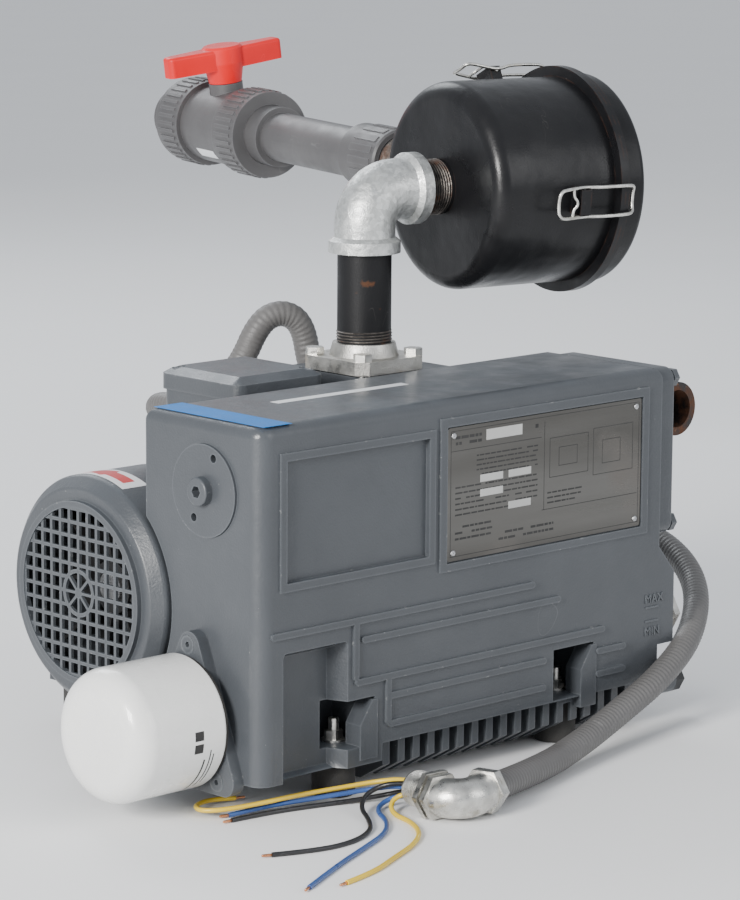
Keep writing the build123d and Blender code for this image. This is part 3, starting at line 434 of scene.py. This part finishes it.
def thread(name, origin, axis, radius, length, pitch, depth, finish, body="base"):
    """A screw thread's ridge: a triangular section wound round a cylinder, fading out at both ends."""
    side, other = across(axis)
    per_turn = 40
    count = round(length / pitch * per_turn)
    vertices = []
    for i in range(count + 1):
        turn = 2 * math.pi * i / per_turn
        fade = min(1, i / per_turn * 2, (count - i) / per_turn * 2)
        outward = side * math.cos(turn) + other * math.sin(turn)
        centre = origin + axis * (pitch * i / per_turn * MM)
        for rise, along in ((-0.3, -0.42), (depth * fade, -0.06), (depth * fade, 0.06), (-0.3, 0.42)):
            vertices.append(centre + (outward * (radius + rise) + axis * (along * pitch)) * MM)
    faces = grid_faces(count + 1, 4) + [(3, 2, 1, 0), tuple(4 * count + k for k in range(4))]
    return add_piece(name, vertices, faces, finish, body, smooth=False)


def slabs(name, origin, along, up, rectangles, thickness, finish, body="base"):
    """Thin plates on a plane: each rectangle is (x, y, width, height) in millimetres from its origin."""
    out = along.cross(up).normalized()
    edge = min(0.15, thickness / 2)
    vertices, faces = [], []
    for x, y, width, height in rectangles:
        start = len(vertices)
        for inset, level in ((0, 0), (0, thickness - edge), (edge, thickness)):
            for px, py in ((x + inset, y + inset), (x + width - inset, y + inset),
                           (x + width - inset, y + height - inset), (x + inset, y + height - inset)):
                vertices.append(origin + (along * px + up * py + out * level) * MM)
        faces += [tuple(start + k for k in face) for face in grid_faces(3, 4)]
        faces += [tuple(start + k for k in (3, 2, 1, 0)), tuple(start + k for k in (8, 9, 10, 11))]
    return add_piece(name, vertices, faces, finish, body, smooth=False)


def wrapped(name, origin, axis, zero, radius, outline, thickness, finish, body="base"):
    """A thin label on a cylinder: its outline's columns are (degrees, low, high along the axis)."""
    other = axis.cross(zero)
    vertices = []
    for degrees, low, high in outline:
        outward = zero * math.cos(math.radians(degrees)) + other * math.sin(math.radians(degrees))
        for level, along in ((0, low), (thickness, low), (thickness, high), (0, high)):
            vertices.append(origin + (outward * (radius + level) + axis * along) * MM)
    count = len(outline)
    faces = grid_faces(count, 4) + [(3, 2, 1, 0), tuple(4 * (count - 1) + k for k in range(4))]
    return add_piece(name, vertices, faces, finish, body, smooth=False)


def lettering(name, text, origin, along, up, height, thickness, finish, body="base"):
    """Raised generic lettering as a mesh."""
    data = bpy.data.curves.new(name, "FONT")
    data.body, data.size, data.extrude = text, height * MM * 1.4, thickness * MM / 2
    data.bevel_depth = 0.0001
    source = bpy.data.objects.new(name + "_outline", data)
    bpy.context.collection.objects.link(source)
    bpy.context.view_layer.update()
    graph = bpy.context.evaluated_depsgraph_get()
    mesh = bpy.data.meshes.new_from_object(source.evaluated_get(graph))
    bpy.data.objects.remove(source)
    mesh.transform(Matrix((along, up, along.cross(up))).transposed().to_4x4())
    mesh.transform(Matrix.Translation(origin))
    mesh.materials.clear()
    mesh.materials.append(finish)
    piece = bpy.data.objects.new(name, mesh)
    bpy.context.collection.objects.link(piece)
    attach(piece, body)
    return piece


# ---------------------------------------------------------------- cords
CONDUIT_RADIUS, WIRE_RADIUS = 10.5, 1.8
CONDUIT_ROUTE = [
    (150, 252, 226), (150, 288, 226), (178, 320, 212), (222, 322, 208), (257, 313, 240), (272, 306, 277),
    (289, 297, 285), (304, 289, 274), (309, 286, 238), (325, 284, 204), (366, 282, 168), (416, 268, 138),
    (468, 238, 114), (512, 198, 102), (536, 146, 99), (537, 92, 88), (514, 42, 66), (459, 0, 40),
    (400, -19, 19), (346, -27, 3), (288, -41, -9), (224, -60, -14), (145, -84.5, -9),
]
WIRE_ROUTES = {
    "long_wire_yellow": [(112, -57, -5), (113, -32, -6), (106, -10, -11), (84, 4, -14.5), (50, 12, -15),
                         (18, 20, -17.5), (-10, 31, -19.5), (-20, 44, -20.5), (-12, 57, -20.5),
                         (8, 62, -21), (26, 56, -22.3)],
    "long_wire_blue": [(107, -57, -8), (108, -32, -10), (98, -10, -15.5), (72, 4, -18.5), (42, 15, -20),
                       (22, 24, -22), (-3, 30, -24.2)],
    "long_wire_black": [(112, -57, -11), (113, -34, -14), (106, -14, -21), (82, 0, -24.2),
                        (52, 9, -24.2), (22, 16, -24.2), (-10, 19, -24.2)],
    "short_wire_yellow": [(105, -57, -12), (104, -40, -13), (95, -35, -19), (86, -46, -24.2),
                          (82, -70, -24.2), (67, -95, -24.2), (42, -113, -24.2), (11, -126, -24.2),
                          (-22, -141, -24.2), (-52, -146, -24.2)],
    "short_wire_blue": [(109, -57, -13.5), (107, -34, -16), (96, -25, -22), (82, -34, -24.2),
                        (71, -57, -24.2), (48, -79, -24.2), (12, -95, -24.2), (-30, -113, -24.2),
                        (-78, -137, -24.2)],
    "short_wire_black": [(105.5, -57, -4.5), (104, -32, -6), (89, -17, -14), (73, -26, -21),
                         (62, -48, -24.2), (44, -68, -24.2), (17, -79, -24.2), (-14, -78, -24.2),
                         (-46, -64, -24.2)],
}


def route_curve(name, route):
    """A smooth open NURBS spline with the route's points as its control points."""
    data = bpy.data.curves.new(name, "CURVE")
    data.dimensions = "3D"
    data.resolution_u = 16
    spline = data.splines.new("NURBS")
    spline.points.add(len(route) - 1)
    for place, point in zip(spline.points, route):
        place.co = (*at(*point), 1)
    spline.order_u = 3
    spline.use_endpoint_u = True
    curve = bpy.data.objects.new(name, data)
    bpy.context.collection.objects.link(curve)
    return curve


def read_line(curve):
    """The curve's own smooth line, as points."""
    bpy.context.view_layer.update()
    graph = bpy.context.evaluated_depsgraph_get()
    mesh = bpy.data.meshes.new_from_object(curve.evaluated_get(graph))
    return [vertex.co.copy() for vertex in mesh.vertices]


def evenly(points, step):
    """Points at equal steps along a line of points."""
    out, left = [points[0]], step
    for a, b in zip(points, points[1:]):
        length, reached = (b - a).length, 0
        while length - reached >= left:
            reached += left
            out.append(a.lerp(b, reached / length))
            left = step
        left -= length - reached
    return out + [points[-1]]


STEPS_PER_RIDGE = 6


def corrugated(name, line, radius, pitch, depth, finish):
    """A tube along a line with a fine helical ridge, its ends closed."""
    points = evenly(line, pitch / STEPS_PER_RIDGE)
    around = 20
    direction = (points[1] - points[0]).normalized()
    side = across(direction)[0]
    vertices = []
    for i, point in enumerate(points):
        before, after = points[max(0, i - 1)], points[min(len(points) - 1, i + 1)]
        direction = (after - before).normalized()
        side = (side - direction * side.dot(direction)).normalized()
        other = direction.cross(side)
        for j in range(around):
            turn = 2 * math.pi * j / around
            wave = math.cos(2 * math.pi * i / STEPS_PER_RIDGE - turn)
            reach = radius - depth * (1 - wave) / 2
            vertices.append(point + (side * math.cos(turn) + other * math.sin(turn)) * reach)
    last = len(vertices) - around
    faces = grid_faces(len(points), around)
    faces += [tuple(reversed(range(around))), tuple(range(last, last + around))]
    return add_piece(name, vertices, faces, finish, body=None)


def make_conduit():
    guide = route_curve("conduit_guide", CONDUIT_ROUTE)
    line = read_line(guide)
    bpy.data.objects.remove(guide)
    hose = corrugated("conduit_hose", line, CONDUIT_RADIUS * MM, 4.2 * MM, 0.35 * MM,
                      FINISHES["conduit_grey"])
    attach(hose, "base")
    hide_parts("conduit")
    mouth = math.radians(MOUTH_DEGREES)
    mouth_line = Vector((math.cos(mouth), math.sin(mouth), 0))
    spigot = thread("fitting_thread", at(*FITTING_CORNER) + mouth_line * 34 * MM, mouth_line, 12.5, 17,
                    2.1, 0.8, FINISHES["zinc"])


def make_wire(name, route):
    wire = route_curve(name + "_lead", route)
    slot = "wire_" + name.rsplit("_", 1)[1]
    wire.data.bevel_depth = WIRE_RADIUS * MM
    wire.data.bevel_resolution = 4
    wire.data.use_fill_caps = True
    wire.data.materials.append(FINISHES[slot])
    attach(wire, "base")
    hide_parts(name)
    end, before = at(*route[-1]), at(*route[-2])
    outward = (end - before).normalized()
    outward.z = 0
    bare = turned(name + "_copper", end, outward.normalized(),
                  [(0.05, -1), (1.0, -1), (1.05, 3), (0.95, 7), (0.6, 7.6), (0.05, 7.6)], COPPER,
                  steps=14)


make_conduit()
for wire_name, wire_route in WIRE_ROUTES.items():
    make_wire(wire_name, wire_route)


# ---------------------------------------------------------------- labels and marks
RIGHT, BACK, UP = Vector((1, 0, 0)), Vector((0, 1, 0)), Vector((0, 0, 1))
ELBOW_CENTRE = at(256, 166, 395)
ARM = Matrix.Rotation(math.radians(ARM_DEGREES), 3, "Z") @ RIGHT  # the canister's axis
SPOUT = (Matrix.Rotation(math.radians(SPOUT_DEGREES), 3, "Z")
         @ Matrix.Rotation(math.radians(SPOUT_RISE), 3, "Y") @ RIGHT)
SPOUT_START = ELBOW_CENTRE + (ARM * 118 + UP * 2) * MM


def text_lines(picker, x, y, width, rows, pitch, height, gap=0.12):
    """Rows of short bars that read as printed lines from afar."""
    bars = []
    for row in range(rows):
        reach = 0
        while reach < width - 2:
            length = min(picker.uniform(3, 9), width - reach)
            if picker.random() > gap:
                bars.append((x + reach, y - row * pitch, length - 0.9, height))
            reach += length
    return bars


def make_nameplate():
    low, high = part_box("nameplate")
    origin = Vector((low.x, low.y, low.z))
    width, height = (high.x - low.x) / MM, (high.z - low.z) / MM
    picker = random.Random(11)
    rule = 0.5
    print_bars = [(3, 3, width - 6, rule), (3, height - 3, width - 6, rule), (3, 3, rule, height - 6),
                  (width - 3, 3, rule, height - 6), (3, 82, 96, rule), (102, 26, rule, height - 32),
                  (100, 26, width - 104, rule)]
    paragraphs = ((8, 91, 28, 2, 4.4, 2.2), (82, 90, 15, 1, 4, 3.0), (30, 76, 66, 5, 3.6, 1.1),
                  (8, 54, 88, 6, 4.1, 1.2), (8, 24, 40, 3, 4.4, 1.6), (54, 14, 60, 2, 4.6, 1.8),
                  (106, 38, 40, 3, 3.8, 1.2))
    for paragraph in paragraphs:
        print_bars += text_lines(picker, *paragraph)
    drawings = ((108, 50, 42, 30), (156, 46, 44, 36), (118, 58, 20, 14), (166, 54, 20, 18))
    for left, bottom, wide, tall in drawings:
        print_bars += [(left, bottom, wide, rule), (left, bottom + tall, wide, rule),
                       (left, bottom, rule, tall), (left + wide, bottom, rule, tall + rule)]
    boxes = [(40, 87, 38, 8)] + [(x, y, 24, 5.5) for x, y in ((34, 56), (64, 56), (34, 45), (64, 32))]
    slabs("nameplate_lines", origin, RIGHT, UP, print_bars, 0.08, PRINT_DARK)
    slabs("nameplate_boxes", origin, RIGHT, UP, boxes, 0.10, PRINT_LIGHT)
    for i, (x, z) in enumerate(((6, 6), (width - 6, 6), (6, height - 6), (width - 6, height - 6))):
        head = [(0.05, 0), (2.4, 0), (2.4, 0.3), (1.8, 0.9), (0.05, 1.2)]
        turned(f"nameplate_rivet_{i + 1}", origin + (RIGHT * x + UP * z) * MM, -BACK, head,
               FINISHES["steel"], steps=20)


def make_labels():
    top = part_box("oil_box")[1].z
    corner = at(5, 2, 0)
    corner.z = top
    slabs("blue_band_label", corner, RIGHT, BACK, [(0, 0, 27, 119)], 0.15, LABEL_BLUE)
    stripe = at(82, 72, 0)
    stripe.z = top
    slabs("white_stripe_label", stripe, RIGHT, BACK, [(0, 0, 132, 9)], 0.12, LABEL_WHITE)
    shaft, paper = at(0, SHAFT_Y, SHAFT_Z), 0.15
    band = [(degrees, 2, 26) for degrees in range(64, 113, 2)]
    wrapped("rotation_label", shaft, RIGHT, BACK, COWL_RADIUS, band, paper, LABEL_WHITE)
    tip, barbs, tail, widening = 68, 93, 108, 0.36
    arrow = [(degrees, 13.2 - widening * (degrees - tip), 14.8 + widening * (degrees - tip))
             for degrees in range(tip, barbs, 2)]
    arrow += [(degrees, 8.5, 19.5) for degrees in range(barbs, tail, 2)]
    wrapped("rotation_arrow", shaft, RIGHT, BACK, COWL_RADIUS + paper, arrow, 0.1, LABEL_RED)
    for word, z in (("MAX", 75), ("MIN", 49)):
        lettering("level_mark_" + word.lower(), word, at(402, -0.3, z), RIGHT, UP, 7, 1.0,
                  FINISHES["enamel"])
    slabs("level_lines", at(403, 0, 0), RIGHT, UP, [(0, 70.5, 15, 1.6), (0, 59.5, 15, 1.6)], 0.9,
          FINISHES["enamel"])
    camera_side = UP.cross(SPOUT).normalized()
    tag = [(degrees, 0, 30) for degrees in range(-50, -33, 2)]
    wrapped("valve_label", SPOUT_START + SPOUT * 400 * MM, SPOUT, camera_side, 33.55, tag, 0.12,
            LABEL_WHITE, "base")


def make_threads():
    mouth = Matrix.Rotation(math.radians(MOUTH_DEGREES), 3, "Z") @ RIGHT
    thread("fitting_thread", at(*FITTING_CORNER) + mouth * 33 * MM, mouth, 12.6, 18, 1.8, 0.8,
           FINISHES["zinc"])
    for name, origin, axis, length, depth in (
            ("riser_thread", at(256, 166, 279), UP, 9, 0.7),
            ("canister_thread", ELBOW_CENTRE + ARM * 48.5 * MM, ARM, 19, 0.9),
            ("spout_thread", SPOUT_START + SPOUT * 112 * MM, SPOUT, 20, 0.8)):
        thread(name, origin, axis, PIPE_RADIUS, length, PIPE_PITCH, depth, THREAD_STEEL)


def latch_point(angle, radius, t, across_line):
    """A point by a latch, from its angle about the canister's axis, radius, distance t and side."""
    side = ARM.cross(UP).normalized()
    outward = side * math.cos(angle) + UP * math.sin(angle)
    return ELBOW_CENTRE + (ARM * t + outward * radius + ARM.cross(outward) * across_line) * MM


def bent_wire(name, points, radius, closed, finish, body):
    """Round wire on a smooth line near its control points."""
    data = bpy.data.curves.new(name, "CURVE")
    data.dimensions, data.resolution_u = "3D", 8
    data.bevel_depth, data.bevel_resolution, data.use_fill_caps = radius * MM, 3, True
    spline = data.splines.new("NURBS")
    spline.points.add(len(points) - 1)
    for place, point in zip(spline.points, points):
        place.co = (*point, 1)
    spline.order_u = 3
    spline.use_cyclic_u = closed
    spline.use_endpoint_u = not closed
    data.materials.append(finish)
    wire = bpy.data.objects.new(name, data)
    bpy.context.collection.objects.link(wire)
    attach(wire, body)
    return wire


def make_latches():
    """Bright wire bails with round ends, each with two kinked cross wires at its pivot."""
    half = BAIL_HALF_WIDTH
    rail = [(95.5, 115.5, 4), (96.5, 116.5, 10), (95.5, 123, half), (90.6, 141, half),
            (91.2, 149, half), (93.6, 157, half), (93.2, 184, half), (91.5, 190.5, 10.5),
            (88.6, 191.5, 5)]
    for number, degrees in enumerate(LATCH_DEGREES, start=1):
        angle, name = math.radians(degrees), f"latch_{number}"
        loop = [latch_point(angle, radius, t, side) for radius, t, side in rail]
        loop += [latch_point(angle, radius, t, -side) for radius, t, side in reversed(rail)]
        bail = bent_wire(name + "_bail", loop, BAIL_WIRE, True, FINISHES["zinc"], name)
        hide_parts(name)
        for label, t, radius, kink in (("pivot", 143, 90, 0), ("lever", 131, 93.4, 3)):
            bar = [(radius, t, half), (radius, t, 5), (radius + 1.5, t + kink, 2),
                   (radius + 1.5, t + kink, -2), (radius, t, -5), (radius, t, -half)]
            bent_wire(f"{name}_{label}", [latch_point(angle, *place) for place in bar], CROSS_WIRE,
                      False, FINISHES["zinc"], name)


def make_filter_trim():
    low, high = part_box("oil_filter")
    middle = (low + high) / 2
    radius = (high.z - low.z) / 2 / MM
    seat = Vector((high.x, middle.y, middle.z))
    seal = [(radius - 6, -0.1), (radius - 1.5, -0.1), (radius - 1.2, 1.6), (radius - 6, 1.6)]
    turned("oil_filter_seal", seat, -RIGHT, seal, FINISHES["gasket"])
    prints = ((-32, -30.5, 20, 62), (-27, -26, 12, 56), (-24, -23, 16, 50), (-42, -34, -6, 2),
              (-42, -34, 5, 13))
    for number, (low_x, high_x, start, stop) in enumerate(prints, start=1):
        bar = [(degrees, low_x, high_x) for degrees in range(start, stop + 1, 2)]
        wrapped(f"oil_filter_print_{number}", at(0, FILTER_Y, FILTER_Z), RIGHT, -BACK, radius + 0.02,
                bar, 0.06, PRINT_DARK)


make_nameplate()
make_labels()
make_threads()
make_latches()
make_filter_trim()


# ---------------------------------------------------------------- floor and light
def make_stage():
    material, tree, shader = new_finish("floor", Roughness=0.9)
    tree.links.new(blend(tree, noise(tree, 3, 3), (0.86, 0.86, 0.86), (0.89, 0.89, 0.89)),
                   shader.inputs["Base Color"])
    mesh = bpy.data.meshes.new("floor")
    reach, sides = 30, 48
    turns = [2 * math.pi * i / sides for i in range(sides)]
    ring = [(reach * math.cos(turn), reach * math.sin(turn), 0) for turn in turns]
    mesh.from_pydata(ring, [], [tuple(range(sides))])
    mesh.materials.append(material)
    floor = bpy.data.objects.new("floor", mesh)
    bpy.context.collection.objects.link(floor)
    world = bpy.data.worlds.new("studio")
    world.use_nodes = True
    sky = world.node_tree.nodes["Background"]
    sky.inputs["Color"].default_value = (0.86, 0.90, 0.96, 1)
    sky.inputs["Strength"].default_value = 0.80
    bpy.context.scene.world = world


def add_light(name, place, target, size, power, colour=(1, 1, 1)):
    data = bpy.data.lights.new(name, "AREA")
    data.energy, data.size, data.color = power, size, colour
    light = bpy.data.objects.new(name, data)
    light.location = place
    light.rotation_euler = (Vector(target) - Vector(place)).to_track_quat("-Z", "Y").to_euler()
    bpy.context.collection.objects.link(light)


make_stage()
add_light("key", (-3.2, -0.9, 1.35), (0, 0, 0.25), 0.9, 185, (1.0, 0.985, 0.96))
add_light("fill", (0.9, -2.8, 1.4), (0, 0, 0.25), 1.6, 22)
add_light("rim", (0.8, 2.4, 2.2), (0, 0, 0.35), 1.4, 40, (0.92, 0.96, 1.0))
